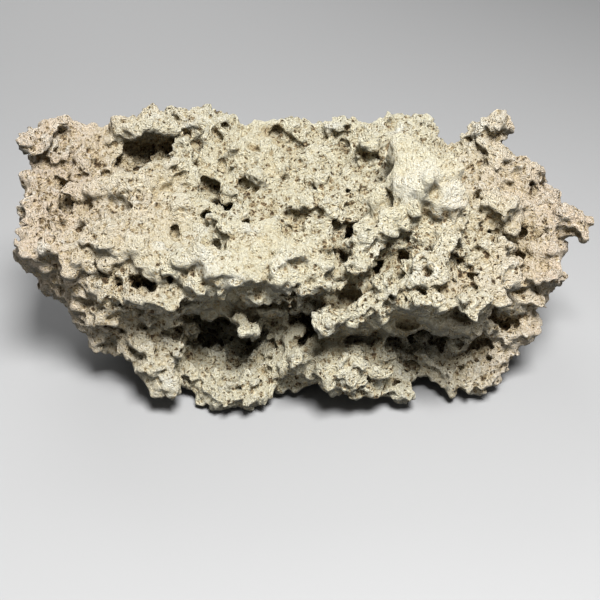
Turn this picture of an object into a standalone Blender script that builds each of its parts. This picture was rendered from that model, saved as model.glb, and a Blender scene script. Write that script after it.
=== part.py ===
"""A weathered, holey lump of reef rock, about 300 mm long, as one closed solid.

The stone is one piece. It is built up in four steps: a lofted core gives it its bulk, lumps are fused
to the core, hollows are cut out of it, and a coarse noise roughens what is left.

Metres, +Z up. X runs along the stone, and -Y is the broad, weathered face. The origin is under the
middle of the stone, at the level of the surface that it rests on.
"""

import math

import bmesh
import bpy
from mathutils import Euler, Matrix, Vector, noise
from mathutils.bvhtree import BVHTree

MM = 0.001

# The eye that the stone was measured from: a pixel of the 600 x 600 picture and a depth in Y give a place.
PICTURE_SIDE = 600
LENS_TO_FILM = 60.0 / 36.0
EYE_TILT = math.radians(32.0)
EYE_AIM = Vector((0.0, 0.0, 27.0)) * MM
EYE_DISTANCE = 558.0 * MM

# Meshing and surface.
CORE_VOXEL = 2.6 * MM
FINAL_VOXEL = 2.2 * MM
CRAG_HEIGHTS = (4.0 * MM, 2.6 * MM, 1.4 * MM)
CRAG_WAVES = (30.0 * MM, 15.0 * MM, 8.0 * MM)
MOST_TRIANGLES = 9300
PROFILE_POINTS = 44

STONE_COLOUR = (0.62, 0.56, 0.43, 1.0)
STONE_ROUGHNESS = 0.95

# One row a station of the core, from the left end to the right. Each gives its column in the picture, the
# front profile as (row in the picture, depth in mm) from the crest down to the foot, the height of the
# underside in mm, and how far back the stone reaches there, in mm.
STATIONS = (
    (26, ((172, 12), (205, -8), (240, -26), (258, -22), (266, -8)), 62, 34),
    (45, ((134, 24), (180, 2), (225, -22), (262, -38), (280, -30), (292, -10)), 42, 46),
    (75, ((128, 30), (170, 6), (225, -28), (272, -50), (300, -44), (322, -26)), 28, 54),
    (105, ((132, 34), (172, 10), (225, -32), (280, -58), (315, -54), (346, -38)), 18, 60),
    (140, ((122, 38), (170, 12), (225, -30), (284, -64), (325, -58), (376, -52)), 9, 66),
    (180, ((116, 40), (170, 12), (230, -30), (288, -68), (325, -50), (384, -56)), 6, 70),
    (220, ((123, 42), (170, 14), (230, -30), (290, -72), (328, -44), (396, -62)), 6, 72),
    (260, ((140, 40), (170, 14), (230, -28), (285, -72), (330, -42), (390, -60)), 6, 72),
    (300, ((138, 40), (170, 14), (230, -26), (287, -70), (328, -46), (372, -56)), 6, 72),
    (340, ((133, 42), (170, 12), (230, -30), (300, -66), (330, -58), (381, -62)), 6, 72),
    (380, ((132, 40), (165, 6), (215, -34), (300, -70), (345, -54), (386, -62)), 6, 70),
    (420, ((130, 36), (160, 4), (215, -38), (312, -74), (345, -44), (378, -58)), 6, 68),
    (455, ((148, 32), (180, 4), (230, -34), (314, -70), (350, -44), (382, -54)), 8, 64),
    (490, ((140, 28), (180, 2), (240, -32), (300, -54), (345, -46), (374, -46)), 12, 60),
    (518, ((168, 24), (200, -2), (250, -28), (300, -44), (330, -38), (346, -32)), 20, 54),
    (543, ((190, 16), (210, -6), (250, -24), (280, -32), (292, -26), (301, -14)), 38, 44),
    (560, ((212, 8), (220, -6), (245, -16), (262, -16), (272, -6)), 60, 30),
)

# Lumps grown on the core. Each has the column and row of the picture where its middle shows, how far that
# stands out of the core towards the eye, its half sizes across, away and up as the eye sees it, all in mm, and
# how far it leans over to the right, in degrees.
LUMPS = {
    "left_horn_tip": (79, 125, 0, (7, 9, 5), 20),
    "left_horn": (60, 129, 0, (13, 11, 6), -10),
    "left_lobe_high": (40, 149, 0, (6, 10, 8), 10),
    "left_lobe_middle": (37, 177, 0, (8, 11, 7), -10),
    "left_lobe_low": (41, 206, 0, (9, 11, 11), 0),
    "left_arm_tip": (33, 247, 3, (8, 12, 7), 20),
    "left_arm": (66, 250, 1, (24, 12, 9), 12),
    "left_shelf": (110, 240, 2, (20, 9, 9), 0),
    "crest_knob_left": (120, 122, 0, (6, 9, 4), 0),
    "crest_left": (147, 119, 0, (9, 11, 5), -5),
    "crest_high": (174, 118, 1, (9, 12, 6), 0),
    "crest_middle": (213, 120, 0, (15, 14, 6), 6),
    "crest_small": (262, 133, 0, (8, 11, 4), 0),
    "crest_saddle": (293, 126, 0, (10, 13, 5), 5),
    "crest_right": (339, 126, 0, (13, 13, 6), 5),
    "crest_block": (396, 126, 0, (14, 14, 7), -12),
    "crest_block_end": (428, 135, 0, (7, 12, 6), 35),
    "right_horn_tip": (497, 129, 0, (6, 8, 6), 0),
    "right_horn": (484, 140, 0, (10, 11, 8), -20),
    "right_horn_root": (498, 162, 0, (12, 12, 9), 30),
    "right_shoulder": (527, 171, 0, (8, 10, 5), 10),
    "right_slope": (547, 207, 0, (9, 11, 6), 40),
    "beak": (571, 220, 3, (11, 12, 9), 25),
    "beak_hook": (582, 237, 4, (5, 9, 5), 0),
    "right_knob": (552, 256, 2, (7, 9, 8), 0),
    "right_edge_low": (554, 281, 2, (7, 10, 5), 0),
    "upper_plate": (178, 174, 3, (14, 8, 11), 0),
    "hollow_rim": (112, 186, 2, (19, 8, 5), 3),
    "hollow_roof": (150, 131, 3, (17, 9, 5), 0),
    "middle_swell": (165, 212, 2, (26, 9, 9), 0),
    "arch_lip": (222, 225, 4, (14, 8, 6), 5),
    "brow_left": (150, 258, 2, (24, 9, 8), 4),
    "brow_middle": (215, 268, 3, (24, 11, 11), 0),
    "brow_right": (290, 266, 3, (20, 11, 12), 8),
    "brow_swell": (255, 240, 4, (20, 9, 8), 12),
    "upper_field": (262, 170, 1, (22, 8, 12), 20),
    "gully_bank": (322, 215, 2, (18, 8, 13), 10),
    "gully_foot": (315, 255, 2, (11, 9, 10), -20),
    "crest_boulder": (368, 148, 4, (10, 8, 5), -15),
    "block_top": (411, 168, 8, (15, 11, 10), 20),
    "block_body": (425, 200, 7, (21, 13, 17), 10),
    "block_front": (385, 232, 5, (13, 11, 9), -25),
    "block_corner": (362, 255, 6, (7, 9, 11), -20),
    "block_nose": (450, 232, 7, (9, 10, 10), 0),
    "hollow_block": (424, 262, 1, (10, 9, 7), -10),
    "block_plate": (425, 286, 3, (23, 11, 5), -12),
    "right_brow": (440, 301, 3, (32, 11, 5), 0),
    "right_brow_end": (492, 284, 3, (13, 11, 9), -20),
    "right_field": (497, 208, 2, (16, 9, 12), 20),
    "right_cheek": (485, 255, 2, (14, 9, 9), 0),
    "right_bank": (540, 275, 2, (12, 9, 6), 0),
    "right_bank_low": (524, 320, 1, (10, 9, 10), -20),
    "wedge": (352, 318, 6, (18, 11, 7), -8),
    "wedge_tip": (330, 326, 8, (6, 9, 4), 0),
    "cave_nub": (248, 328, 12, (6, 9, 4), 20),
    "cave_pillar": (284, 348, 4, (8, 9, 15), 15),
    "foot_left": (160, 367, 4, (12, 12, 13), -15),
    "foot_left_step": (162, 338, 0, (11, 9, 5), 0),
    "foot_front": (233, 395, 4, (22, 12, 7), 0),
    "foot_front_end": (272, 385, 0, (7, 10, 6), -10),
    "foot_middle": (335, 368, 4, (24, 13, 10), 12),
    "foot_middle_left": (312, 377, 2, (9, 10, 6), 10),
    "foot_middle_tip": (391, 396, 3, (7, 8, 7), 10),
    "foot_right": (460, 379, 3, (21, 11, 7), -4),
    "foot_right_high": (505, 354, 1, (11, 9, 10), 15),
    "low_shelf_left": (150, 301, 2, (15, 9, 4), 3),
    "low_bank_left": (90, 321, 1, (12, 9, 9), 30),
    "low_bank_left_end": (108, 345, 1, (11, 9, 6), 15),
}

# Hollows dug along the line of sight. Each has the column and row where it shows, how far behind the surface
# its middle lies, its half sizes across, deep and up, all in mm, and its lean to the right, in degrees.
HOLLOWS = {
    "upper_left_hollow": (139, 161, 4, (13, 13, 10), 0),
    "upper_left_pocket": (163, 147, 7, (10, 15, 6), -5),
    "narrow_pit": (195, 147, 4, (4.5, 8, 6.5), 0),
    "arch_hole": (223, 206, 8, (11, 16, 6), -8),
    "arch_ramp": (211, 188, 0, (7, 6, 9), -10),
    "middle_hole": (170, 232, 4, (6, 10, 4), -5),
    "cheek_cleft": (67, 189, 3, (4.5, 10, 9), -35),
    "cheek_cleft_low": (61, 210, 3, (5, 10, 5), 0),
    "cheek_cleft_side": (90, 207, 2, (4, 7, 4), 0),
    "left_rim_pit": (99, 177, 3, (3.5, 7, 3), 0),
    "lobe_cleft": (40, 163, 2, (8, 7, 2.5), 5),
    "arm_cleft": (48, 229, 1, (10, 7, 2.5), -5),
    "crest_pit": (342, 146, 4, (4.5, 9, 5), 0),
    "crest_cleft": (318, 159, 3, (11, 7, 3), 38),
    "crest_cleft_right": (355, 157, 2, (8, 7, 2.5), -10),
    "crest_nook": (303, 142, 3, (8, 8, 4.5), 0),
    "block_shadow": (377, 170, 3, (6, 9, 12), -40),
    "block_gully": (366, 205, 2, (5.5, 9, 9), 10),
    "gully_slope": (285, 222, 1, (13, 6, 4), 25),
    "gully_hole": (351, 233, 7, (7.5, 14, 6), 15),
    "gully_channel": (340, 264, 4, (6, 10, 10), -15),
    "brow_slit": (245, 255, 2, (6, 6, 1.8), 5),
    "block_hollow": (377, 270, 6, (6, 13, 8), 0),
    "block_hollow_middle": (396, 266, 3, (8, 9, 8), 0),
    "block_hollow_top": (424, 244, 4, (12, 9, 3), 0),
    "plate_hole": (459, 276, 4, (4, 9, 3), 0),
    "plate_pits": (468, 291, 2, (10, 7, 2.6), 5),
    "right_slot": (492, 234, 4, (9, 10, 3.5), 0),
    "right_cleft": (527, 234, 4, (5, 11, 10), 30),
    "right_cleft_low": (515, 254, 4, (5.5, 10, 6), 0),
    "right_grotto": (503, 316, 6, (9, 14, 6), -12),
    "right_low_pit": (485, 343, 3, (6, 8, 3.5), 0),
    "horn_gap": (451, 143, 0, (4, 14, 4), 0),
    "low_left_pit": (86, 306, 2, (5, 7, 3.5), 10),
    "low_left_pit_two": (110, 323, 2, (6, 7, 3.5), 10),
}

# Caves dug level under the ledges, in the same terms, with the half size away from the eye measured level.
CAVES = {
    "left_cave": (228, 341, 9, (26, 28, 13), 0),
    "left_cave_end": (195, 322, 4, (14, 15, 7), -10),
    "middle_cave": (312, 320, 8, (9, 22, 9), -20),
    "middle_cave_low": (306, 338, 4, (5, 12, 6), 0),
    "right_cave": (425, 338, 10, (20, 25, 12), 0),
    "right_cave_end": (464, 338, 6, (12, 18, 10), 0),
    "wedge_cave": (362, 348, 5, (14, 12, 3.5), 8),
    "arm_cave": (152, 283, 4, (8, 12, 5), 0),
    "arm_cave_middle": (115, 287, 3, (9, 9, 3), 0),
    "arm_cave_left": (70, 280, 2, (6, 9, 2.5), 0),
    "low_shelf_cave": (150, 316, 4, (17, 10, 3.5), 0),
}

# The hidden side: lumps as (x, y, z) of the middle and half sizes, in mm.
BACK_LUMPS = {
    "back_left": ((-108, 38, 74), (26, 22, 24)),
    "back_left_low": ((-72, 48, 46), (30, 24, 24)),
    "back_middle": ((-20, 58, 70), (34, 20, 26)),
    "back_middle_low": ((6, 60, 36), (34, 20, 20)),
    "back_right": ((66, 50, 70), (32, 22, 26)),
    "back_right_low": ((84, 42, 40), (26, 22, 18)),
    "back_right_end": ((118, 22, 78), (20, 20, 22)),
}

# Hollows of the hidden side, in the same terms.
BACK_HOLLOWS = {
    "back_nook_left": ((-84, 76, 66), (13, 16, 8)),
    "back_cave": ((-8, 86, 54), (18, 22, 10)),
    "back_nook_high": ((24, 70, 104), (11, 12, 8)),
    "back_nook_right": ((88, 72, 58), (14, 16, 9)),
    "back_pit_low": ((44, 74, 24), (11, 14, 7)),
}

# The worn feet that the stone rests on, in the terms of the hidden side. Each is cut level at the floor.
FEET = {
    "foot_pad_left": ((-74, -22, 9), (20, 18, 12)),
    "foot_pad_right": ((78, -18, 9), (20, 17, 12)),
    "foot_pad_back": ((4, 44, 9), (24, 16, 12)),
}


def ray_through(column, row):
    """(start, direction) of the line of sight through a pixel of the picture."""
    forward = Vector((0.0, math.cos(EYE_TILT), -math.sin(EYE_TILT)))
    upward = Vector((0.0, math.sin(EYE_TILT), math.cos(EYE_TILT)))
    across = (column / PICTURE_SIDE - 0.5) / LENS_TO_FILM
    above = (0.5 - row / PICTURE_SIDE) / LENS_TO_FILM
    start = EYE_AIM - EYE_DISTANCE * forward
    return start, (forward + Vector((across, 0.0, 0.0)) + above * upward).normalized()


def seen_at(column, row, depth):
    """The point that a pixel shows, when it lies at this depth in Y."""
    start, direction = ray_through(column, row)
    return start + direction * ((depth - start.y) / direction.y)


def smooth_loop(points, count):
    """A closed Catmull-Rom curve through the points, read off at evenly spaced steps."""
    size = len(points)
    dense = []
    steps = 24
    for i in range(size):
        a, b, c, d = (points[(i + k - 1) % size] for k in range(4))
        for j in range(steps):
            t = j / steps
            dense.append(
                0.5
                * (
                    2 * b
                    + (c - a) * t
                    + (2 * a - 5 * b + 4 * c - d) * t * t
                    + (3 * b - a - 3 * c + d) * t * t * t
                )
            )
    lengths = [(dense[(i + 1) % len(dense)] - p).length for i, p in enumerate(dense)]
    step = sum(lengths) / count
    loop, travelled, wanted = [], 0.0, 0.0
    for p, length in zip(dense, lengths):
        if travelled >= wanted - 1e-9 and len(loop) < count:
            loop.append(p)
            wanted += step
        travelled += length
    return loop


def station_loop(column, front, underside, back):
    """The closed profile of the core at one station, in the plane of its brow's X."""
    face = [seen_at(column, row, depth * MM) for row, depth in front]
    x = sum(p.x for p in face) / len(face)
    low, far, crest = underside * MM, back * MM, face[0].z
    rise = crest - low
    face += [
        Vector((x, face[-1].y + 0.22 * (far - face[-1].y), low)),
        Vector((x, far - 0.22 * (far - face[-1].y), low)),
        Vector((x, far, low + 0.30 * rise)),
        Vector((x, 0.5 * (far + face[0].y) + 0.3 * (far - face[0].y), low + 0.78 * rise)),
    ]
    return [Vector((x, p.y, p.z)) for p in smooth_loop(face, PROFILE_POINTS)]


def core_mesh():
    """The stone's bulk, lofted through the stations."""
    bm = bmesh.new()
    rings = []
    for station in STATIONS:
        verts = [bm.verts.new(p) for p in station_loop(*station)]
        rings.append([bm.edges.new((verts[i - 1], verts[i])) for i in range(len(verts))])
    for one, two in zip(rings, rings[1:]):
        bmesh.ops.bridge_loops(bm, edges=one + two)
    for ring in (rings[0], rings[-1]):
        bmesh.ops.contextual_create(bm, geom=ring)
    bmesh.ops.recalc_face_normals(bm, faces=bm.faces)
    return bm


def place_on(tree, column, row, out):
    """The place where a line of sight meets the stone, moved out towards the eye by this many mm. A line
    that misses gives its place nearest to the stone."""
    start, direction = ray_through(column, row)
    hit = tree.ray_cast(start, direction)[0]
    if hit is None:
        steps = [start + direction * (EYE_DISTANCE + k * MM) for k in range(-140, 141)]
        hit = min(steps, key=lambda p: tree.find_nearest(p)[3])
    return hit - direction * out * MM


def eye_axes(tip=EYE_TILT):
    """Across, away and up as the eye sees them, turned down from the level by an angle."""
    away = Vector((0.0, math.cos(tip), -math.sin(tip)))
    upward = Vector((0.0, math.sin(tip), math.cos(tip)))
    return Matrix((Vector((1.0, 0.0, 0.0)), away, upward)).transposed()


def add_boulder(bm, centre, axes, half_sizes, lean, wobble):
    """Adds one irregular rounded shell to a mesh."""
    made = bmesh.ops.create_icosphere(bm, subdivisions=3, radius=1.0)["verts"]
    seed = centre / (17.0 * MM)
    for v in made:
        v.co *= 1.0 + wobble * noise.noise(v.co * 1.3 + seed) + 0.6 * wobble * noise.noise(v.co * 2.9 - seed)
    turn = axes @ Euler((0.0, math.radians(lean), 0.0)).to_matrix()
    size = Matrix.Diagonal((*(h * MM for h in half_sizes), 1.0))
    bmesh.ops.transform(bm, matrix=Matrix.Translation(centre) @ turn.to_4x4() @ size, verts=made)


def object_from(bm, name):
    mesh = bpy.data.meshes.new(name)
    bm.to_mesh(mesh)
    bm.free()
    obj = bpy.data.objects.new(name, mesh)
    bpy.context.scene.collection.objects.link(obj)
    return obj


def apply_modifiers(obj):
    """Replaces an object's mesh with what its modifiers make of it."""
    graph = bpy.context.evaluated_depsgraph_get()
    mesh = bpy.data.meshes.new_from_object(obj.evaluated_get(graph))
    obj.modifiers.clear()
    obj.data = mesh


def fuse(obj, voxel):
    """Joins the overlapping shells of a mesh in one skin."""
    remesh = obj.modifiers.new("fuse", "REMESH")
    remesh.mode = "VOXEL"
    remesh.voxel_size = voxel
    apply_modifiers(obj)


def sight_tree(obj):
    """What a line of sight is tested against."""
    bm = bmesh.new()
    bm.from_mesh(obj.data)
    tree = BVHTree.FromBMesh(bm)
    bm.free()
    return tree


def grow_lumps(stone):
    """Fuses the lumps and the feet to the core."""
    tree = sight_tree(stone)
    bm = bmesh.new()
    bm.from_mesh(stone.data)
    for column, row, out, half_sizes, lean in LUMPS.values():
        add_boulder(bm, place_on(tree, column, row, out), eye_axes(), half_sizes, lean, 0.3)
    for centre, half_sizes in [*BACK_LUMPS.values(), *FEET.values()]:
        add_boulder(bm, Vector(centre) * MM, eye_axes(0.0), half_sizes, 0.0, 0.3)
    bm.to_mesh(stone.data)
    bm.free()
    fuse(stone, CORE_VOXEL)


def dig_hollows(stone):
    """Cuts the hollows and the caves out of the stone."""
    tree = sight_tree(stone)
    bm = bmesh.new()
    for column, row, deep, half_sizes, lean in HOLLOWS.values():
        add_boulder(bm, place_on(tree, column, row, -deep), eye_axes(), half_sizes, lean, 0.35)
    for column, row, deep, half_sizes, lean in CAVES.values():
        add_boulder(bm, place_on(tree, column, row, -deep), eye_axes(0.0), half_sizes, lean, 0.35)
    for centre, half_sizes in BACK_HOLLOWS.values():
        add_boulder(bm, Vector(centre) * MM, eye_axes(0.0), half_sizes, 0.0, 0.35)
    cutter = object_from(bm, "hollows")
    fuse(cutter, CORE_VOXEL)
    cut = stone.modifiers.new("cut", "BOOLEAN")
    cut.operation = "DIFFERENCE"
    cut.solver = "EXACT"
    cut.object = cutter
    apply_modifiers(stone)
    bpy.data.objects.remove(cutter)
    fuse(stone, FINAL_VOXEL)


def drop_crumbs(stone):
    """Leaves only the largest shell: no crumb and no closed bubble."""
    bm = bmesh.new()
    bm.from_mesh(stone.data)
    unseen = set(bm.verts)
    shells = []
    while unseen:
        shell = {unseen.pop()}
        edge = set(shell)
        while edge:
            edge = {e.other_vert(v) for v in edge for e in v.link_edges} & unseen
            unseen -= edge
            shell |= edge
        shells.append(shell)
    shells.sort(key=len)
    print("shells of", [len(shell) for shell in shells], "vertices")
    crumbs = [v for shell in shells[:-1] for v in shell]
    bmesh.ops.delete(bm, geom=crumbs, context="VERTS")
    bm.to_mesh(stone.data)
    bm.free()


def crag(place):
    """How far the weather has raised or sunk the skin at a place, in metres."""
    height = 0.0
    for step, wave in zip(CRAG_HEIGHTS, CRAG_WAVES):
        height += step * (0.5 - 2.0 * abs(noise.noise(place / wave + Vector((wave * 900.0, 3.3, 5.9)))))
    return height


def roughen(stone):
    """Moves the skin in and out: crags with sharp valleys between them."""
    soften = stone.modifiers.new("soften", "SMOOTH")
    soften.factor = 0.5
    soften.iterations = 2
    apply_modifiers(stone)
    moved = [v.co + v.normal * crag(v.co) for v in stone.data.vertices]
    for v, place in zip(stone.data.vertices, moved):
        v.co = place
    fuse(stone, FINAL_VOXEL)
    drop_crumbs(stone)


def thin_out(stone):
    """Leaves as few faces as the shape needs."""
    triangles = sum(len(p.vertices) - 2 for p in stone.data.polygons)
    decimate = stone.modifiers.new("thin", "DECIMATE")
    decimate.ratio = MOST_TRIANGLES / triangles
    apply_modifiers(stone)


def level_feet(stone):
    """Cuts the feet level at the floor."""
    bm = bmesh.new()
    bm.from_mesh(stone.data)
    everything = [*bm.verts, *bm.edges, *bm.faces]
    cut = bmesh.ops.bisect_plane(
        bm, geom=everything, dist=1e-6, plane_co=(0, 0, 0), plane_no=(0, 0, 1), clear_inner=True)
    rims = [e for e in cut["geom_cut"] if isinstance(e, bmesh.types.BMEdge)]
    bmesh.ops.triangle_fill(bm, use_beauty=True, edges=rims)
    bmesh.ops.recalc_face_normals(bm, faces=bm.faces)
    bm.to_mesh(stone.data)
    bm.free()


def centre_over_origin(stone):
    """Moves the stone so that the origin is under the middle of its box. Returns the move."""
    low = [min(v.co[axis] for v in stone.data.vertices) for axis in range(3)]
    high = [max(v.co[axis] for v in stone.data.vertices) for axis in range(3)]
    move = Vector((-(low[0] + high[0]) / 2.0, -(low[1] + high[1]) / 2.0, -low[2]))
    stone.data.transform(Matrix.Translation(move))
    return move


def paint(stone):
    """Gives the stone its one plain colour."""
    skin = bpy.data.materials.new("pale_stone")
    skin.use_nodes = True
    shader = skin.node_tree.nodes["Principled BSDF"]
    shader.inputs["Base Color"].default_value = STONE_COLOUR
    shader.inputs["Roughness"].default_value = STONE_ROUGHNESS
    stone.data.materials.clear()
    stone.data.materials.append(skin)


def main():
    for obj in list(bpy.data.objects):
        bpy.data.objects.remove(obj)
    stone = object_from(core_mesh(), "lava_rock")
    fuse(stone, CORE_VOXEL)
    grow_lumps(stone)
    dig_hollows(stone)
    roughen(stone)
    thin_out(stone)
    level_feet(stone)
    move = centre_over_origin(stone)
    print("moved by (mm)", [round(value / MM, 2) for value in move])
    paint(stone)
    return move


MOVE = main()
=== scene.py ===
# %% [markdown]
# # A lump of pale, holey rock
#
# The stone is one piece: a thick slab with a craggy top, a jutting ledge along its front, two caves under the
# ledge and a few worn feet that it rests on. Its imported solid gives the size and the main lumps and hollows.
# Here a copy of that solid is turned into stone: its facets are rounded off, lumps and pits are added at the
# scale of a finger, and a noise roughens what is left.

# %% Load the solid
import math
import random

import bmesh
import bpy
from mathutils import Euler, Matrix, Vector, noise
from mathutils.bvhtree import BVHTree


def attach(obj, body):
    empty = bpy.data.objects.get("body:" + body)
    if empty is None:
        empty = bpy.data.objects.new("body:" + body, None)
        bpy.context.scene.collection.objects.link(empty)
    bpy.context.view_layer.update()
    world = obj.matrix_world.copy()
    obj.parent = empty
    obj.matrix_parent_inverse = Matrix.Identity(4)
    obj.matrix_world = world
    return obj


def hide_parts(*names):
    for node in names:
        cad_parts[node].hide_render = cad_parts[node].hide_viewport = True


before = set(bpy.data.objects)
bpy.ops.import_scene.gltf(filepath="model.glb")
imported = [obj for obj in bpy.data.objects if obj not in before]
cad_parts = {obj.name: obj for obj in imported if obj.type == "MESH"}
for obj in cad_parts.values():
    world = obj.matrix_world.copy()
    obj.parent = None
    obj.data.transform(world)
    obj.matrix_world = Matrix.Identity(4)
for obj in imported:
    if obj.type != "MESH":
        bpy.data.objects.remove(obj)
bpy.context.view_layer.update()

MM = 0.001

# %% [markdown]
# ## The camera
#
# The camera comes first, because the small features of the stone are placed by where they show in the
# picture. It stands in front of the stone and looks down on it at 32 degrees. A pixel gives a line of sight,
# and the feature sits where that line meets the stone.

# %% Camera
PICTURE_SIDE = 600
LENS = 60.0
FILM = 36.0
EYE_TILT = math.radians(32.0)
EYE_DISTANCE = 558.0 * MM
EYE_AIM = Vector((-2.86, 1.52, 27.0)) * MM

FORWARD = Vector((0.0, math.cos(EYE_TILT), -math.sin(EYE_TILT)))
UPWARD = Vector((0.0, math.sin(EYE_TILT), math.cos(EYE_TILT)))
ACROSS = Vector((1.0, 0.0, 0.0))
EYE = EYE_AIM - EYE_DISTANCE * FORWARD

camera = bpy.data.objects.new("camera", bpy.data.cameras.new("camera"))
camera.data.lens = LENS
camera.data.sensor_width = FILM
camera.location = EYE
camera.rotation_euler = (math.pi / 2.0 - EYE_TILT, 0.0, 0.0)
bpy.context.scene.collection.objects.link(camera)
bpy.context.scene.camera = camera


def sight(column, row):
    """The direction of the line of sight through a pixel of the picture."""
    half = PICTURE_SIDE / 2.0
    reach = PICTURE_SIDE * LENS / FILM
    return (FORWARD + ACROSS * (column - half) / reach + UPWARD * (half - row) / reach).normalized()


# %% [markdown]
# ## The bulk of the stone
#
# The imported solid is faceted, with edges of about 7 mm. Its copy is remeshed into small even squares and
# smoothed, which rounds the facets off and gives the later steps enough mesh to work in. Remeshing also fuses
# whatever overlaps, so it is used again each time lumps have been added.

# %% Remeshing tools
BULK_GRID = 1.5 * MM
STONE_GRID = 1.0 * MM


def apply_modifiers(obj):
    """Makes what the modifiers of an object show its own mesh."""
    shown = obj.evaluated_get(bpy.context.evaluated_depsgraph_get())
    mesh = bpy.data.meshes.new_from_object(shown)
    obj.modifiers.clear()
    obj.data = mesh


def remesh(obj, grid):
    """Rebuilds the skin of an object on an even grid."""
    step = obj.modifiers.new("remesh", "REMESH")
    step.mode = "VOXEL"
    step.voxel_size = grid
    apply_modifiers(obj)


def smooth(obj, times, factor=0.5):
    """Relaxes the skin of an object."""
    step = obj.modifiers.new("smooth", "SMOOTH")
    step.factor = factor
    step.iterations = times
    apply_modifiers(obj)


def object_from(bm, name):
    """A mesh object made from a bmesh, which is freed."""
    mesh = bpy.data.meshes.new(name)
    bm.to_mesh(mesh)
    bm.free()
    obj = bpy.data.objects.new(name, mesh)
    bpy.context.scene.collection.objects.link(obj)
    return obj


def sight_tree(obj):
    """What a line of sight is tested against."""
    bm = bmesh.new()
    bm.from_mesh(obj.data)
    tree = BVHTree.FromBMesh(bm)
    bm.free()
    return tree


# %% Bulk
bm = bmesh.new()
bm.from_mesh(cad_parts["lava_rock"].data)
bmesh.ops.remove_doubles(bm, verts=bm.verts, dist=1e-6)
rock = object_from(bm, "rock")
remesh(rock, BULK_GRID)
smooth(rock, 8)
print("bulk of", len(rock.data.polygons), "squares")

# %% [markdown]
# ## Lumps, ridges, pits and creases
#
# Broken rock is read by its knobs and holes, so those that stand out are placed one by one. Each is one boulder:
# a ball made uneven by noise, stretched to its size and leaned over as the eye sees it. A ridge or a crease is
# a row of such boulders. The raised ones are fused to the stone by a remesh. The sunk ones are cut out with a
# Boolean, which leaves real edges and overhangs where a displacement would only dent the surface.

# %% Boulders
EYE_AXES = Matrix((ACROSS, FORWARD, UPWARD)).transposed()
scrap = bpy.data.meshes.new("scrap")


def add_boulder(whole, centre, half_sizes, turn, wobble=0.3, detail=2):
    """Adds one uneven ball to a mesh. Its half sizes, in mm, are along its own axes, which turn then turns."""
    ball = bmesh.new()
    bmesh.ops.create_icosphere(ball, subdivisions=detail, radius=1.0)
    seed = centre / (11.0 * MM)
    for v in ball.verts:
        v.co *= 1.0 + wobble * noise.noise(v.co * 1.4 + seed) + 0.7 * wobble * noise.noise(v.co * 3.1 - seed)
    size = Matrix.Diagonal((*(h * MM for h in half_sizes), 1.0))
    ball.transform(Matrix.Translation(centre) @ turn.to_4x4() @ size)
    ball.to_mesh(scrap)
    ball.free()
    whole.from_mesh(scrap)


def leaned(lean):
    """The axes of a boulder that leans to the right, as the eye sees it, by this many degrees."""
    return EYE_AXES @ Euler((0.0, math.radians(lean), 0.0)).to_matrix()


def place_on(tree, column, row, out):
    """Where a line of sight meets the stone, moved out towards the eye by this many mm, or None."""
    direction = sight(column, row)
    hit = tree.ray_cast(EYE, direction)[0]
    return hit - direction * out * MM if hit else None


def add_spots(bm, tree, spots, sign, bury=0.0):
    """Adds a boulder for each spot, out of the stone (sign 1) or into it (sign -1).

    A bury of 0.35 sets each deeper by that share of its half size along the line of sight.
    """
    for column, row, out, half_sizes, lean in spots:
        centre = place_on(tree, column, row, sign * out - bury * half_sizes[1])
        if centre:
            add_boulder(bm, centre, half_sizes, leaned(lean))


def add_rows(bm, tree, rows, sign):
    """Adds a row of boulders along each line of pixels, a little more than half a width apart."""
    for radius, out, points in rows:
        for (c0, r0), (c1, r1) in zip(points, points[1:]):
            count = max(1, round(math.hypot(c1 - c0, r1 - r0) * 0.5 / (1.1 * radius)))
            for k in range(count + (points[-1] == (c1, r1))):
                share = k / count
                centre = place_on(tree, c0 + (c1 - c0) * share, r0 + (r1 - r0) * share, sign * out)
                if centre:
                    add_boulder(bm, centre, (radius, 1.3 * radius, radius), EYE_AXES, 0.45)


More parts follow.
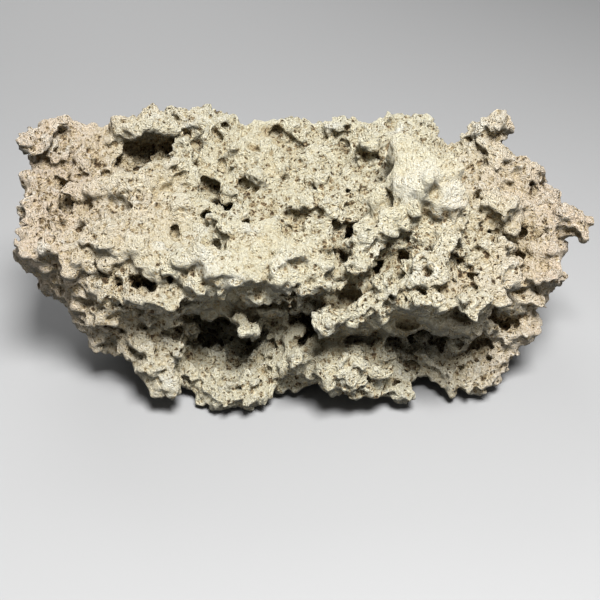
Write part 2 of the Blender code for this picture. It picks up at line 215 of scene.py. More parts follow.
# %% What stands out
# Each lump has the column and row where it shows, how far out its middle stands, its half sizes and its lean.
LUMPS = (
    (168, 172, 1, (8, 5, 8), 0), (190, 176, 1, (6, 5, 9), -10),
    (355, 148, 1, (4, 4, 3), 0), (331, 132, 1, (6, 6, 4), 0), (291, 124, 1, (6, 5, 4), 0),
    (366, 148, 2, (8, 6, 5), -20), (395, 135, 1, (10, 8, 5), -15), (424, 184, 0, (20, 14, 17), 20), (410, 160, 3, (14, 10, 9), 15),
    (425, 178, -1, (13, 8, 10), 30), (452, 200, 2, (8, 7, 9), 10), (418, 207, 2, (9, 7, 6), -10),
    (388, 222, 2, (8, 7, 6), -30), (407, 226, 2, (6, 6, 5), 10), (425, 229, 2, (6, 5, 5), 0),
    (447, 236, 3, (7, 7, 7), 0), (366, 240, 2, (6, 6, 7), -10), (358, 262, 3, (6, 7, 7), -10),
    (388, 261, 1, (3.4, 4, 3.4), 0), (394, 275, 1, (4.4, 4, 4), 20), (397, 255, 1, (3, 3, 3), 0),
    (425, 263, 2, (9, 6, 6), -12), (411, 268, 1, (4, 4, 4), 0), (440, 266, 1, (4, 4, 3), 0),
    (470, 263, 2, (7, 6, 5), -15), (483, 273, 2, (6, 6, 4), 10), (462, 248, 1, (5, 5, 5), 0),
    (500, 262, 2, (6, 5, 5), 0), (485, 247, 2, (5, 5, 4), 0), (503, 246, 2, (4, 5, 5), -20),
    (522, 249, 0, (3, 3.5, 3), 0), (535, 252, 1, (3.6, 4, 3), 0), (528, 240, 0, (2.6, 3, 2.6), 0),
    (541, 244, 1, (3.4, 4, 3), 0), (521, 263, 1, (3.4, 4, 3), 0), (550, 252, 2, (6, 6, 5), 0),
    (545, 230, 2, (6, 6, 4), 20), (560, 222, 1, (6, 6, 5), 30), (500, 208, 1, (9, 6, 6), 10), (488, 134, -2, (10, 8, 6), -20), (497, 130, -1, (6, 8, 5), 0), (474, 144, -2, (9, 8, 9), 0), (484, 139, -2, (8, 8, 8), 0),
    (478, 222, 1, (5, 5, 5), 0), (490, 285, 2, (9, 7, 6), 0), (512, 311, 1, (3.2, 4, 3.2), 0),
    (538, 280, 1, (8, 6, 4), -8), (530, 300, 1, (7, 6, 6), 0), (510, 335, 1, (9, 6, 4), -5),
    (213, 352, 2, (5, 5, 4), 0), (196, 341, 1, (4, 4, 4), 0),
    (170, 322, 1, (6, 5, 3.6), 0), (148, 323, 1, (6, 5, 3), 0), (188, 330, 1, (5, 5, 4), 0),
    (432, 344, 2, (4, 5, 4), 0), (446, 352, 2, (5, 5, 4), 20), (437, 364, 2, (5, 5, 5), 0),
    (456, 346, 1, (4, 4, 4), 0), (450, 374, 2, (6, 5, 4), 0), (464, 364, 2, (5, 5, 4), 0),
    (478, 372, 2, (6, 5, 4), 0), (418, 334, 1, (4, 4, 3), 0), (404, 342, 1, (4, 4, 4), 0),
    (495, 361, 1, (6, 5, 5), 10), (508, 348, 1, (5, 5, 5), 0), (485, 384, 1, (6, 5, 3), 0),
    (112, 294, 1, (4, 4, 3), 0),
    (150, 345, 1, (8, 6, 4), -8), (170, 350, 1, (6, 6, 5), 0), (150, 368, 2, (8, 7, 7), 0),
    (170, 384, 2, (6, 6, 6), 0), (210, 380, 1, (8, 6, 5), 0), (240, 384, 1, (8, 6, 5), 0),
    (225, 400, 2, (8, 6, 4), 0), (250, 398, 1, (5, 6, 5), 0), (300, 357, 1, (6, 6, 6), 10),
    (322, 362, 2, (7, 6, 6), 0), (350, 362, 2, (9, 6, 6), 0), (374, 372, 2, (8, 6, 6), 15),
    (340, 376, 1, (7, 6, 4), 0), (395, 392, -1, (7, 6, 5), 0), (70, 264, 2, (8, 6, 5), 10), (45, 245, 2, (8, 6, 5), 0),
    (105, 245, 1, (8, 5, 4), 0), (92, 226, 1, (7, 5, 4), 0), (135, 240, 1, (8, 5, 5), 0),
    (200, 255, 2, (9, 6, 6), 0), (228, 232, 2, (9, 6, 6), 0), (255, 232, 2, (8, 6, 5), 10),
    (270, 265, 2, (9, 6, 5), 15), (215, 275, 2, (9, 6, 5), 0), (295, 280, 2, (8, 6, 5), 0),
    (300, 205, 1, (7, 4, 5), 0), (330, 205, 1, (7, 5, 6), 0), (315, 225, 1, (6, 5, 5), 0),
    (318, 182, 1, (8, 5, 5), 20), (262, 178, 1, (7, 4, 5), 0), (240, 150, 1, (8, 5, 4), 0),
)

# Each ridge has its half thickness, how far out its middle stands, and the points that it runs through.
RIDGES = (
    (4.5, 0, ((36, 143), (46, 130), (60, 124), (74, 121), (81, 123))),
    (6.0, -3, ((78, 192), (92, 191), (112, 191), (130, 192), (148, 191))),
    (3.5, 1, ((150, 176), (154, 165), (164, 157), (178, 154))),
    (3.5, 2, ((205, 219), (222, 221), (238, 216))),
    (3.0, 1, ((184, 120), (200, 128), (206, 140))),
    (2.5, 2, ((385, 285), (400, 281), (415, 278), (434, 275), (447, 272))),
    (3.2, 1, ((120, 297), (135, 300), (150, 304), (165, 306), (178, 303))),
    (3.0, 1, ((235, 244), (250, 246), (270, 250), (290, 252))),
    (3.0, 2, ((322, 328), (338, 320), (356, 314), (378, 312))),
    (3.0, 2, ((420, 305), (440, 301), (460, 305), (480, 308))),
    (3.0, 2, ((16, 244), (30, 256), (48, 266), (68, 272))),
    (3.0, 1, ((185, 288), (205, 290), (230, 286), (252, 280))),
    (3.0, 1, ((275, 288), (300, 288), (320, 284), (338, 286))),
    (2.6, 1, ((478, 229), (492, 227), (506, 229))),
    (2.6, 1, ((517, 288), (535, 282), (556, 278))),
)

# Teeth stand in the hollows, so they are added once those are cut.
TEETH = (
    (123, 150, 1, (1.8, 2, 2.6), 0), (150, 142, 1, (2.4, 3, 2), 0), (140, 171, 1, (5, 4, 3), 10),
    (127, 166, 1, (4, 4, 3), 0), (247, 329, 4, (6, 7, 4.4), 20), (238, 322, 3, (3, 5, 2.6), 0),
    (262, 312, 4, (4.4, 6, 3.4), 10), (275, 309, 3, (4, 6, 3), 0), (128, 289, 2, (2.4, 3, 3), 0),
    (146, 291, 2, (2.6, 3, 2.8), 0), (212, 354, 3, (5, 5, 4), 0), (300, 330, 1, (3, 4, 3), 0),
    (440, 330, 2, (4, 5, 4), 0), (455, 341, 2, (5, 5, 5), 0), (425, 345, 1, (4, 5, 4), 0),
)
print(len(LUMPS), "lumps,", len(RIDGES), "ridges and", len(TEETH), "teeth")

# %% What is sunk
# The same, with how far behind the surface the middle lies.
PITS = (
    (167, 150, 4, (8, 9, 4), -25), (150, 154, 3, (6, 8, 3), -20), (135, 150, 3, (7, 7, 4), 0),
    (126, 165, 3, (8, 7, 6), 0), (141, 169, 3, (8, 7, 6), 0), (152, 161, 4, (7, 7, 6), 0), (195, 149, 3, (3.2, 6, 5), 0),
    (208, 122, 2, (2.4, 4, 2.8), 0), (141, 122, 1, (2.2, 3, 1.8), 0), (165, 119, 1, (3, 3, 2), 0),
    (222, 208, 6, (9, 13, 5), -8), (209, 213, 5, (5, 10, 3), -10), (210, 192, 3, (8, 6, 9), -14),
    (224, 163, 2, (3, 4, 3), 0), (236, 180, 2, (2.4, 5, 2.6), 0), (171, 232, 3, (4.6, 8, 3), -5),
    (155, 223, 1, (2.4, 3, 1.6), 0), (130, 222, 1, (2.4, 3, 1.8), 0), (93, 152, 1, (2.4, 4, 2.4), 0),
    (100, 177, 2, (3, 6, 2.6), 0), (62, 206, 2, (3, 5, 2.6), 0), (88, 206, 2, (2.6, 5, 4), 0),
    (57, 215, 1, (3, 4, 2), 0), (78, 180, 1, (4, 4, 2.4), 0), (276, 132, 2, (4, 5, 3), 0),
    (302, 143, 3, (6, 6, 3.4), 0), (256, 148, 2, (4, 5, 3.4), 0), (343, 146, 3, (3.4, 6, 4.4), 0),
    (382, 165, 2, (3, 5, 3), 0), (309, 189, 1, (2, 4, 1.6), 0), (271, 187, 2, (1.8, 5, 1.8), 0),
    (298, 197, 1, (2.6, 4, 2), 0), (285, 231, 2, (4, 5, 2.4), 0), (350, 233, 5, (5, 10, 4.4), 35),
    (344, 226, 2, (6, 6, 3), 0), (340, 262, 2, (4.4, 5, 9), -12), (334, 279, 4, (4, 8, 3.4), 0),
    (313, 239, 1, (2.8, 4, 2.6), 0), (311, 284, 2, (2.6, 5, 2.4), 0), (377, 268, 4, (4, 10, 7), 0),
    (406, 259, 3, (2.6, 8, 5), 0), (459, 276, 3, (4, 8, 2.6), 0), (474, 291, 2, (5, 6, 2), 0),
    (455, 288, 1, (2, 5, 1.8), 0), (405, 299, 1, (4, 5, 1.8), 0), (354, 298, 2, (2.4, 5, 2.4), 0),
    (496, 187, 3, (3, 6, 3.2), 0), (507, 193, 2, (4, 5, 2.2), 0), (533, 188, 1, (2.2, 4, 1.8), 0),
    (547, 208, 2, (4, 5, 2.2), 0), (526, 170, 1, (2.6, 4, 2), 0), (514, 115, -1, (3, 8, 3), 0), (518, 124, -1, (2.4, 8, 2.4), 0), (492, 235, 3, (8, 8, 2.2), 0),
    (519, 254, 3, (3.4, 7, 4), 0), (531, 247, 2, (2.6, 5, 2), 0), (494, 276, 2, (2, 5, 2.2), 0),
    (500, 323, 4, (8, 9, 3.4), 0), (514, 315, 4, (4, 8, 5), 0), (486, 345, 3, (6, 7, 2.6), 0),
    (470, 360, 2, (5, 6, 1.8), 0), (156, 284, 5, (6, 9, 4.4), 0), (138, 286, 4, (4.4, 7, 3.2), 0), (168, 277, 4, (4, 8, 3), 0),
    (103, 286, 2, (5, 5, 2.4), 0), (120, 287, 2, (2, 5, 2), 0), (70, 280, 2, (5, 6, 1.8), 0),
    (124, 303, 1, (2.6, 4, 2.2), 0), (84, 304, 2, (5, 5, 3), 0), (108, 322, 2, (6, 6, 2.6), 0),
    (84, 323, 1, (2.4, 4, 1.8), 0), (235, 300, 3, (5, 6, 3.6), 0), (209, 311, 3, (2.8, 7, 3.4), 0),
    (212, 344, 3, (6, 8, 5), 0), (250, 348, 3, (4, 9, 4.6), 0), (235, 357, 2, (6, 7, 3), 0),
    (315, 318, 5, (9, 14, 4.4), -25), (306, 335, 4, (4, 12, 5.4), 0), (146, 356, 1, (2.4, 4, 1.6), 0),
    (350, 345, 2, (5, 6, 1.8), 0), (369, 351, 2, (5, 7, 2.6), 0), (400, 358, 2, (6, 6, 2), 20),
    (411, 367, 2, (3.6, 6, 2.2), 0), (408, 325, 3, (6, 9, 3), 0), (362, 341, 2, (12, 8, 2.6), 5),
    (430, 352, 2, (2.6, 6, 2.4), 0), (448, 362, 2, (2.2, 6, 2.2), 0), (426, 366, 2, (2.4, 5, 2), 0),
    (199, 381, 1, (3, 5, 2.4), 0), (185, 360, 2, (3, 6, 6), 0), (460, 352, 2, (3, 6, 2), 0),
)

CREASES = (
    (2.6, 2, ((78, 176), (92, 177), (106, 175), (122, 177))),
    (8.0, 8, ((190, 306), (215, 307), (240, 306), (262, 303), (285, 303), (310, 302), (335, 299), (350, 296))),
    (5.0, 4, ((196, 316), (220, 316), (245, 315), (270, 313), (300, 313), (325, 310))),
    (2.6, 3, ((384, 291), (400, 293), (418, 290), (436, 288), (452, 284))),
    (4.2, 4, ((398, 318), (418, 314), (440, 312), (458, 314), (474, 318))),
    (2.2, 2, ((33, 163), (44, 162), (55, 168), (58, 180), (68, 193))),
    (2.6, 3, ((58, 183), (68, 194), (62, 205), (56, 215), (46, 227))),
    (1.8, 1, ((60, 160), (72, 148), (86, 140), (97, 136))),
    (2.0, 2, ((288, 146), (300, 149), (310, 153), (318, 159), (330, 168))),
    (1.4, 1, ((346, 160), (356, 156), (364, 155))),
    (3.0, 2, ((386, 158), (378, 168), (370, 176), (362, 187))),
    (1.6, 2, ((343, 172), (347, 178), (353, 186))),
    (2.4, 1, ((250, 206), (263, 213), (276, 221), (288, 231), (298, 229))),
    (1.8, 2, ((384, 188), (390, 198), (398, 208), (404, 213))),
    (1.4, 1, ((428, 234), (436, 228), (446, 222))),
    (2.2, 1, ((470, 168), (473, 186), (475, 205), (471, 225))),
    (2.2, 3, ((398, 244), (414, 241), (430, 240), (446, 248))),
    (1.7, 2, ((386, 297), (400, 301), (414, 297), (432, 292), (452, 290))),
    (3.0, 5, ((543, 218), (533, 222), (524, 230), (518, 240), (513, 250), (514, 258))),
    (1.4, 1, ((526, 269), (540, 263), (556, 268))),
    (1.6, 2, ((519, 292), (538, 287), (560, 284))),
    (1.8, 2, ((147, 281), (150, 273), (160, 269), (170, 275))),
    (2.4, 3, ((116, 318), (132, 313), (152, 313), (170, 310), (186, 305))),
    (1.3, 2, ((233, 254), (245, 254), (257, 259))),
    (2.0, 2, ((186, 344), (182, 364), (179, 384), (184, 396))),
    (1.8, 2, ((394, 355), (404, 361), (416, 367))),
    (2.2, 3, ((396, 322), (420, 319), (440, 314), (456, 315), (472, 319))),
    (1.8, 1, ((130, 349), (150, 357), (172, 352))),
    (1.8, 1, ((95, 276), (115, 270), (135, 266), (152, 262))),
    (2.0, 1, ((470, 330), (476, 345), (468, 360))),
    (1.6, 1, ((205, 160), (201, 175), (199, 195))),
    (1.5, 1, ((240, 165), (246, 178), (240, 190), (232, 195))),
)
print(len(PITS), "pits and", len(CREASES), "creases")

# %% Raise the lumps and cut the pits
def fuse(obj, bm):
    """Fuses the shells of a bmesh to an object."""
    bm.from_mesh(obj.data)
    bm.to_mesh(obj.data)
    bm.free()
    remesh(obj, STONE_GRID)


def cut_out(obj, bm):
    """Cuts the shells of a bmesh out of an object."""
    cutter = object_from(bm, "cutter")
    remesh(cutter, STONE_GRID)
    step = obj.modifiers.new("cut", "BOOLEAN")
    step.operation = "DIFFERENCE"
    step.object = cutter
    apply_modifiers(obj)
    bpy.data.objects.remove(cutter)


tree = sight_tree(rock)
bm = bmesh.new()
add_spots(bm, tree, LUMPS, 1, 0.35)
add_rows(bm, tree, RIDGES, 1)
fuse(rock, bm)

tree = sight_tree(rock)
bm = bmesh.new()
add_spots(bm, tree, PITS, -1)
add_rows(bm, tree, CREASES, -1)
cut_out(rock, bm)

tree = sight_tree(rock)
bm = bmesh.new()
add_spots(bm, tree, TEETH, 1)
fuse(rock, bm)
smooth(rock, 3)
print("stone of", len(rock.data.polygons), "squares")

# %% [markdown]
# ## Sound stone and crumbly stone
#
# Between the listed features the stone is crumbly in some places and sound in others. A slow noise
# says where, and so do a few patches seen in the picture: the block at the right is sound, and the hollows are
# crumbly. The same patches later tell the finish where the stone is rubbed white, and where it gets brown stain and
# painted shade.

# %% Patches
# Each patch has the column and row of its middle and how far it reaches, in mm.
SOUND_PATCHES = ((425, 178, 24), (410, 210, 14), (205, 262, 14), (165, 185, 12), (250, 262, 12), (70, 255, 14))
CRUMBLY_PATCHES = (
    (150, 160, 17), (270, 218, 20), (90, 165, 12), (40, 195, 14), (140, 225, 12), (300, 140, 14), (170, 115, 12),
    (120, 290, 20), (110, 320, 16), (415, 262, 16), (460, 262, 14), (530, 245, 14), (440, 345, 20), (512, 325, 12),
    (230, 345, 18), (300, 235, 10), (240, 392, 16), (345, 370, 18), (160, 360, 14), (495, 345, 14), (280, 130, 10),
)
CHALK_PATCHES = (
    (204, 225, 8), (238, 221, 7), (210, 262, 10), (122, 200, 9), (176, 190, 6), (190, 240, 10), (425, 172, 12),
    (405, 188, 12), (452, 195, 10), (438, 222, 8), (165, 245, 9), (250, 235, 9), (285, 262, 9), (290, 290, 8),
    (375, 250, 8), (235, 285, 9), (60, 145, 9), (84, 124, 8), (70, 240, 8), (480, 130, 8), (470, 180, 7),
    (150, 120, 8), (190, 128, 7), (330, 130, 7), (400, 130, 8), (40, 250, 8), (165, 380, 8), (420, 275, 6),
)
# Where the hollows get brown stain and painted shade in the finish.
STAIN_AND_SHADE_PATCHES = (
    (150, 160, 20), (268, 216, 18), (92, 160, 13), (45, 190, 12), (300, 142, 11), (292, 232, 12), (135, 222, 10),
    (120, 287, 18), (108, 306, 12), (500, 322, 12), (530, 240, 13), (492, 236, 9), (377, 268, 8), (405, 260, 9),
    (215, 125, 7), (200, 150, 7), (270, 135, 8), (255, 148, 7), (350, 233, 8), (408, 325, 9), (480, 345, 12),
)


def seen_patches(tree, patches):
    """The patches as places on the stone, with their reach in metres."""
    seen = [(place_on(tree, column, row, 0.0), reach * MM) for column, row, reach in patches]
    return [(middle, reach) for middle, reach in seen if middle]


def patch_at(place, patches):
    """How much a place belongs to the nearest of the patches, from 0 to 1."""
    share = max(1.0 - (place - middle).length / reach for middle, reach in patches)
    return min(1.0, max(0.0, 1.6 * share))


tree = sight_tree(rock)
sound = seen_patches(tree, SOUND_PATCHES)
crumbly = seen_patches(tree, CRUMBLY_PATCHES)
chalky = seen_patches(tree, CHALK_PATCHES)
stained_and_shaded = seen_patches(tree, STAIN_AND_SHADE_PATCHES)
print(len(sound), "sound,", len(crumbly), "crumbly,", len(chalky), "chalky and", len(stained_and_shaded), "stained patches")

# %% [markdown]
# ## Nodules and pores
#
# Small nodules and pits are strewn all over, from a seeded source of chance, and more thickly where the stone
# is crumbly. The side that nobody saw gets the same treatment.

# %% Strew nodules and pits
NODULES = 1500
STREWN_PITS = 1100
CRUMBLE_WAVE = 34.0 * MM
chance = random.Random(41)


def crumble(place):
    """How crumbly the stone is at a place, from 0, sound, to 1."""
    level = 0.58 + 1.1 * noise.noise(place / CRUMBLE_WAVE + Vector((4.2, 0.7, 1.9)))
    level += 0.6 * patch_at(place, crumbly) - 0.5 * patch_at(place, sound)
    return min(1.0, max(0.0, level))


def strew(obj, count, sizes, sink):
    """A bmesh of clusters of boulders strewn over an object, set under its skin by this share of their size."""
    bm = bmesh.new()
    faces = obj.data.polygons
    made = 0
    while made < count:
        face = faces[chance.randrange(len(faces))]
        place = face.center.copy()
        if chance.random() > 0.2 + 0.8 * crumble(place):
            continue
        size = sizes[0] * (sizes[1] / sizes[0]) ** (chance.random() ** 1.8)
        for part in range(chance.choice((1, 2, 2, 3))):
            half_sizes = [size * chance.uniform(0.5, 1.2) for axis in range(3)]
            turn = Euler([chance.uniform(0.0, math.tau) for axis in range(3)]).to_matrix()
            stray = Vector([chance.uniform(-0.9, 0.9) for axis in range(3)]) * size
            stray -= face.normal * (stray.dot(face.normal) + sink * size)
            add_boulder(bm, place + stray * MM, half_sizes, turn, 0.7)
        made += 1
    return bm


fuse(rock, strew(rock, NODULES, (1.2, 3.2), 0.45))
cut_out(rock, strew(rock, STREWN_PITS, (1.2, 2.8), 0.3))
remesh(rock, STONE_GRID)
print("stone of", len(rock.data.polygons), "squares")

# %% [markdown]
# ## Crags and crumbs
#
# Weathered rock has knobs and creases at every size. The largest come from noise folded at its middle value,
# which gives a crease wherever it changes sign. The smaller ones come from cells, as of packed grains: each cell
# bulges into a crumb or, by its own lot, drops into a pore, and creases run between the cells.

# %% Crags and crumbs
CRAG_SIZES = ((3.0, 18.0), (1.6, 8.0))
# Each size of grain has its height, the depth of its pores, how far apart the grains are, all in mm, and the
# share of them that are pores.
GRAIN_SIZES = ((3.4, 4.4, 9.5, 0.22), (3.0, 3.6, 5.6, 0.3), (2.2, 2.4, 3.4, 0.3))


def crag(place):
    """How far the weather has raised or sunk the skin at a place, in mm."""
    height = -2.0
    for step, wave in CRAG_SIZES:
        height += step * (3.2 * abs(noise.noise(place / (wave * MM) + Vector((wave, 3.3, 5.9)))) - 0.4)
    return height


def grain(place, rise, depth, apart, pore_share):
    """How far a grain or a pore raises or sinks the skin at a place, in mm."""
    stray = noise.noise_vector(place / (0.5 * apart * MM)) * 0.3
    far, middles = noise.voronoi(place / (apart * MM) + stray)
    lot = 0.5 + 0.5 * noise.cell(middles[0] * 7.0)
    reach = 0.3 + 0.7 * crumble(place)
    if lot < pore_share * (0.5 + reach):
        return -depth * reach * min(1.0, max(0.0, 2.6 - 5.0 * far[0]))
    return rise * reach * (0.42 - 1.5 * far[0] ** 2) * (0.5 + lot)


def push(obj, height):
    """Moves each point of an object along its normal by a height in mm, worked out from its place."""
    moved = [v.co + v.normal * height(v.co) * MM for v in obj.data.vertices]
    for v, place in zip(obj.data.vertices, moved):
        v.co = place
    obj.data.update()


push(rock, crag)
smooth(rock, 1)
for size in GRAIN_SIZES:
    push(rock, lambda place: grain(place, *size))
remesh(rock, 0.9 * STONE_GRID)

# %% Keep one shell, and thin it
MOST_TRIANGLES = 194000


def keep_largest_shell(obj):
    """Removes crumbs that the cuts left loose, and bubbles inside the stone."""
    bm = bmesh.new()
    bm.from_mesh(obj.data)
    unseen = set(bm.verts)
    shells = []
    while unseen:
        front = {unseen.pop()}
        shell = set(front)
        while front:
            front = {e.other_vert(v) for v in front for e in v.link_edges} & unseen
            unseen -= front
            shell |= front
        shells.append(shell)
    shells.sort(key=len)
    bmesh.ops.delete(bm, geom=[v for shell in shells[:-1] for v in shell], context="VERTS")
    print("dropped", len(shells) - 1, "loose shells")
    bm.to_mesh(obj.data)
    bm.free()


def thin_out(obj, most):
    """Leaves as few faces as the limit asks, and fewest where the skin is even."""
    step = obj.modifiers.new("thin", "DECIMATE")
    step.ratio = min(1.0, most / (2.0 * len(obj.data.polygons)))
    step.use_collapse_triangulate = True
    apply_modifiers(obj)


keep_largest_shell(rock)
thin_out(rock, MOST_TRIANGLES)
print("stone of", len(rock.data.polygons), "triangles")

# %% [markdown]
# ## Set the stone on the floor
#
# The strewn lumps may reach a little below the floor under the stone, where a real one has been worn flat.

# %% Flatten the feet
for v in rock.data.vertices:
    v.co.z = max(v.co.z, 0.0)

# %% [markdown]
# ## Shelter
#
# The finish paints shade into the hollows from how sheltered each point is. For each point of the skin, short rays
# are sent out on all sides, and the share that hits stone again is kept with the point. The finish reads it.

# %% Measure shelter
RAYS = 14
RAY_LENGTH = 16.0 * MM


def ray_directions(count):
    """Directions spread evenly over the half of a ball about +Z."""
    turn = math.pi * (3.0 - math.sqrt(5.0))
    heights = [(k + 0.5) / count for k in range(count)]
    return [Vector((math.sqrt(1 - h * h) * math.cos(turn * k), math.sqrt(1 - h * h) * math.sin(turn * k), h))
            for k, h in enumerate(heights)]


def keep(obj, name, values):
    """Stores one number for each point of the skin."""
    kept = obj.data.attributes.new(name, "FLOAT", "POINT")
    kept.data.foreach_set("value", values)
    print(name, "is", round(sum(values) / len(values), 3), "on average")


def keep_shelter(obj):
    """Stores the shelter of each point of the skin, and how far it faces down."""
    tree = sight_tree(obj)
    around = ray_directions(RAYS)
    values = []
    for v in obj.data.vertices:
        turn = v.normal.to_track_quat("Z", "Y")
        start = v.co + v.normal * 0.3 * MM
        hits = sum(tree.ray_cast(start, turn @ way, RAY_LENGTH)[0] is not None for way in around)
        values.append(hits / RAYS)
    keep(obj, "shelter", values)
    # How far each point faces down; the finish paints shade on the undersides from it.
    keep(obj, "underside", [0.5 - 0.5 * v.normal.z for v in obj.data.vertices])
    keep(obj, "chalk", [patch_at(v.co, chalky) for v in obj.data.vertices])
    keep(obj, "stain_and_shade", [patch_at(v.co, stained_and_shaded) for v in obj.data.vertices])
    keep(obj, "crumbly", [crumble(v.co) for v in obj.data.vertices])


keep_shelter(rock)
for face in rock.data.polygons:
    face.use_smooth = True

# %% [markdown]
# ## The finish
#
# The stone is chalky and quite dull. It is cream in the middle and a pinker tan towards its ends, with white
# rubbed patches on the crests. Its hollows get an ochre to brown lining that is partly stain and partly painted
# shade, raised grains are painted whiter as a painted highlight, and the undersides get painted shade in grey. It
# is also full of pores that are too fine for the mesh, and their bottoms get painted shade in near black. Each of
# these is a mask between 0 and 1, worked out from noise, cells or the kept shelter, and the colours are mixed by
# the masks one after the other.

# %% Shader maths
class Signal:
    """A socket inside a material. A sum written with it adds the Math nodes that work it out."""

    def __init__(self, tree, socket=None):
        self.tree = tree
        self.socket = socket

    def node(self, kind, settings=None, sockets=None, output=0):
        """Adds any node: first its settings, then the values or links of its sockets."""
        made = self.tree.nodes.new(kind)
        for name, value in (settings or {}).items():
            setattr(made, name, value)
        for name, value in (sockets or {}).items():
            if isinstance(value, Signal):
                self.tree.links.new(value.socket, made.inputs[name])
            else:
                made.inputs[name].default_value = value
        return Signal(self.tree, made.outputs[output])

    def maths(self, operation, *values):
        return self.node("ShaderNodeMath", {"operation": operation}, dict(enumerate(values)))

    def __add__(self, other):
        return self.maths("ADD", self, other)

    def __radd__(self, other):
        return self.maths("ADD", other, self)

    def __sub__(self, other):
        return self.maths("SUBTRACT", self, other)

    def __rsub__(self, other):
        return self.maths("SUBTRACT", other, self)

    def __mul__(self, other):
        return self.maths("MULTIPLY", self, other)

    def __rmul__(self, other):
        return self.maths("MULTIPLY", other, self)

    def __abs__(self):
        return self.maths("ABSOLUTE", self)

    def over(self, low, high):
        """A mask that rises softly from 0 to 1 as the value goes from low to high."""
        return self.node("ShaderNodeMapRange", {"interpolation_type": "SMOOTHSTEP"},
                         {"Value": self, "From Min": low, "From Max": high})

    def mix(self, below, above):
        """A colour between two others, by this mask."""
        return self.node("ShaderNodeMix", {"data_type": "RGBA"}, {0: self, 6: below, 7: above}, 2)


# %% Patterns
def noise_of(place, wave, detail=3.0, roughness=0.6, shift=(0.0, 0.0, 0.0)):
    """Noise from 0 to 1 whose swells are this many mm apart."""
    moved = place.node("ShaderNodeVectorMath", {"operation": "ADD"}, {0: place, 1: shift})
    return place.node("ShaderNodeTexNoise", {},
                      {"Vector": moved, "Scale": 1.0 / (wave * MM), "Detail": detail, "Roughness": roughness})


def shaken(place, wave, reach):
    """Places pushed about by up to this many mm, so that cells at them lose their even shapes."""
    shake = place.node("ShaderNodeTexNoise", {}, {"Vector": place, "Scale": 1.0 / (wave * MM)}, 1)
    push = place.node("ShaderNodeVectorMath", {"operation": "SCALE"}, {0: shake, "Scale": 2.0 * reach * MM})
    return place.node("ShaderNodeVectorMath", {"operation": "ADD"}, {0: place, 1: push})


def cells_of(place, apart):
    """Cells this many mm apart: how far each place is from the middle of its cell, and the cell's own lot."""
    cell = {"Vector": place, "Scale": 1.0 / (apart * MM)}
    far = place.node("ShaderNodeTexVoronoi", {}, cell)
    lot = place.node("ShaderNodeSeparateColor", {}, {"Color": place.node("ShaderNodeTexVoronoi", {}, cell, 1)})
    return far, lot


def grains_of(place, apart, pore_share):
    """Height of packed grains this many mm apart, from about -1 in the pores between them to 1."""
    far, lot = cells_of(place, apart)
    bulge = (0.8 - 1.3 * far * far) * (0.4 + 0.6 * lot)
    pore = far.over(0.55, 0.2)
    return bulge - pore * lot.over(pore_share + 0.02, pore_share - 0.02) * 1.7


# %% Stone finish
CREAM = (0.70, 0.65, 0.475, 1.0)
TAN = (0.70, 0.565, 0.43, 1.0)
CHALK = (0.82, 0.81, 0.72, 1.0)
OCHRE = (0.52, 0.41, 0.22, 1.0)
# Brown, for stain and painted shade in the hollows.
BROWN = (0.23, 0.15, 0.075, 1.0)
# Near black, laid in the pores as painted shade.
PORE_SHADE = (0.075, 0.048, 0.025, 1.0)
# Grey, laid on the undersides as painted shade.
UNDERSIDE_SHADE_GREY = (0.15, 0.148, 0.125, 1.0)


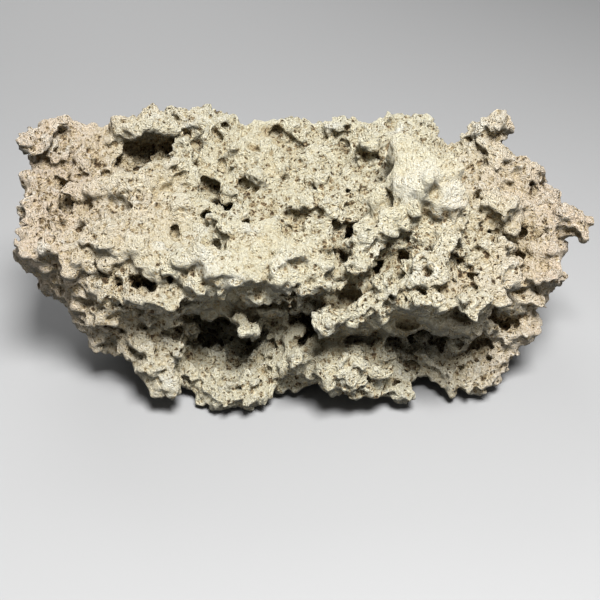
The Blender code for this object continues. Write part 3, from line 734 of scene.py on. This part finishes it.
def stone_finish():
    """The material of the stone."""
    material = bpy.data.materials.new("weathered stone")
    material.use_nodes = True
    tree = material.node_tree
    shader = tree.nodes["Principled BSDF"]
    start = Signal(tree)
    place = start.node("ShaderNodeTexCoord", output="Object")
    along = start.node("ShaderNodeSeparateXYZ", {}, {"Vector": place})
    shelter, underside, chalk, stain_and_shade, crumbly = (
        start.node("ShaderNodeAttribute", {"attribute_name": name}, output="Fac")
        for name in ("shelter", "underside", "chalk", "stain_and_shade", "crumbly"))

    loose = shaken(place, 1.6, 0.9)
    coarse = grains_of(loose, 4.4, 0.34)
    middling = grains_of(loose, 2.4, 0.38)
    fine = grains_of(loose, 1.3, 0.4)
    grit = noise_of(place, 0.9, 3.0, 0.8)
    height = (0.5 + 0.5 * crumbly) * (1.3 * coarse + 1.3 * middling + 1.2 * fine) + 3.0 * grit - 1.1

    drift = noise_of(place, 38.0)
    mottle = noise_of(place, 7.0, 4.0, 0.7)
    ends = (abs(along) + 0.09 * drift).over(0.09, 0.19)
    colour = ends.mix(CREAM, TAN)
    # Painted highlight: raised grains are painted whiter, and sheltered ones less so, which is painted shade.
    raised = (height - 1.5 * shelter).over(0.9, 2.0)
    # White rubbed patches, held back where the stone is sheltered, which is painted shade.
    white = (0.5 * chalk + drift + 0.8 * mottle - 0.3 * shelter).over(0.8, 1.5)
    colour = (0.35 * raised + 0.55 * white).mix(colour, CHALK)
    speck = noise_of(place, 0.7, 2.0, 0.7, (0.3, 0.1, 0.2))
    colour = (0.75 * speck.over(0.54, 0.68)).mix(colour, CHALK)
    colour = (0.75 * speck.over(0.46, 0.32)).mix(colour, OCHRE)
    # Painted shade: the undersides are painted grey.
    underside_shade = (underside + 0.5 * mottle).over(0.62, 1.05)
    colour = (0.85 * underside_shade).mix(colour, UNDERSIDE_SHADE_GREY)
    # An ochre lining, partly stain and mottle, partly painted shade in sheltered and low places.
    ochre_stain_and_shade = (0.3 * stain_and_shade + 0.9 * shelter + 0.8 * mottle - 0.4 * height - 1.2 * grit).over(-0.4, 0.4)
    colour = (0.75 * ochre_stain_and_shade).mix(colour, OCHRE)
    # A brown lining, partly stain and mottle, partly painted shade in sheltered and low places.
    brown_stain_and_shade = (0.25 * stain_and_shade + 0.9 * shelter + 0.4 * mottle - 0.5 * height).over(0.4, 1.2)
    colour = (0.9 * brown_stain_and_shade).mix(colour, BROWN)
    # Painted shade: the lowest and most sheltered spots, the bottoms of the pores, are painted near black.
    pore_shade = (0.5 * shelter - height).over(0.8, 1.7)
    colour = (0.9 * pore_shade).mix(colour, PORE_SHADE)
    tree.links.new(colour.socket, shader.inputs["Base Color"])

    bump = start.node("ShaderNodeBump", {}, {"Height": height, "Strength": 1.0, "Distance": 1.25 * MM}, "Normal")
    tree.links.new(bump.socket, shader.inputs["Normal"])
    shader.inputs["Roughness"].default_value = 0.95
    shader.inputs["Specular IOR Level"].default_value = 0.2
    return material


rock.data.materials.clear()
rock.data.materials.append(stone_finish())
print("finish of", len(rock.data.materials[0].node_tree.nodes), "nodes")

# %% [markdown]
# ## Floor and light
#
# The stone stands on a plain pale floor. A soft light hangs above it and towards the camera, so that the tops
# are bright and the hollows and caves stay dark. A weaker, larger one lights the back, and the sky adds a fill.

# %% Floor
FLOOR_SIDE = 6.0
bm = bmesh.new()
bmesh.ops.create_grid(bm, x_segments=1, y_segments=1, size=FLOOR_SIDE / 2.0)
floor = object_from(bm, "floor")
paper = bpy.data.materials.new("pale paper")
paper.use_nodes = True
paper.node_tree.nodes["Principled BSDF"].inputs["Base Color"].default_value = (0.27, 0.27, 0.27, 1.0)
paper.node_tree.nodes["Principled BSDF"].inputs["Roughness"].default_value = 0.9
floor.data.materials.append(paper)

# %% Lights
def add_light(name, place, aim, size, power):
    """A soft square light at a place, in metres, that looks at another."""
    lamp = bpy.data.lights.new(name, "AREA")
    lamp.size = size
    lamp.energy = power
    light = bpy.data.objects.new(name, lamp)
    light.location = place
    light.rotation_euler = (Vector(aim) - Vector(place)).to_track_quat("-Z", "Y").to_euler()
    bpy.context.scene.collection.objects.link(light)
    return light


add_light("top light", (0.11, -0.48, 0.86), (0.0, 0.0, 0.06), 0.3, 24.5)
add_light("back light", (-0.35, 0.95, 0.75), (0.0, 0.0, 0.06), 0.8, 9.0)
world = bpy.data.worlds.new("studio")
world.use_nodes = True
world.node_tree.nodes["Background"].inputs["Color"].default_value = (0.95, 0.97, 1.0, 1.0)
world.node_tree.nodes["Background"].inputs["Strength"].default_value = 0.16
bpy.context.scene.world = world
bpy.context.scene.view_settings.view_transform = "Standard"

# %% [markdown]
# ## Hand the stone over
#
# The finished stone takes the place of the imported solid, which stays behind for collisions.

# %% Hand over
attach(rock, "root")
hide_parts("lava_rock")
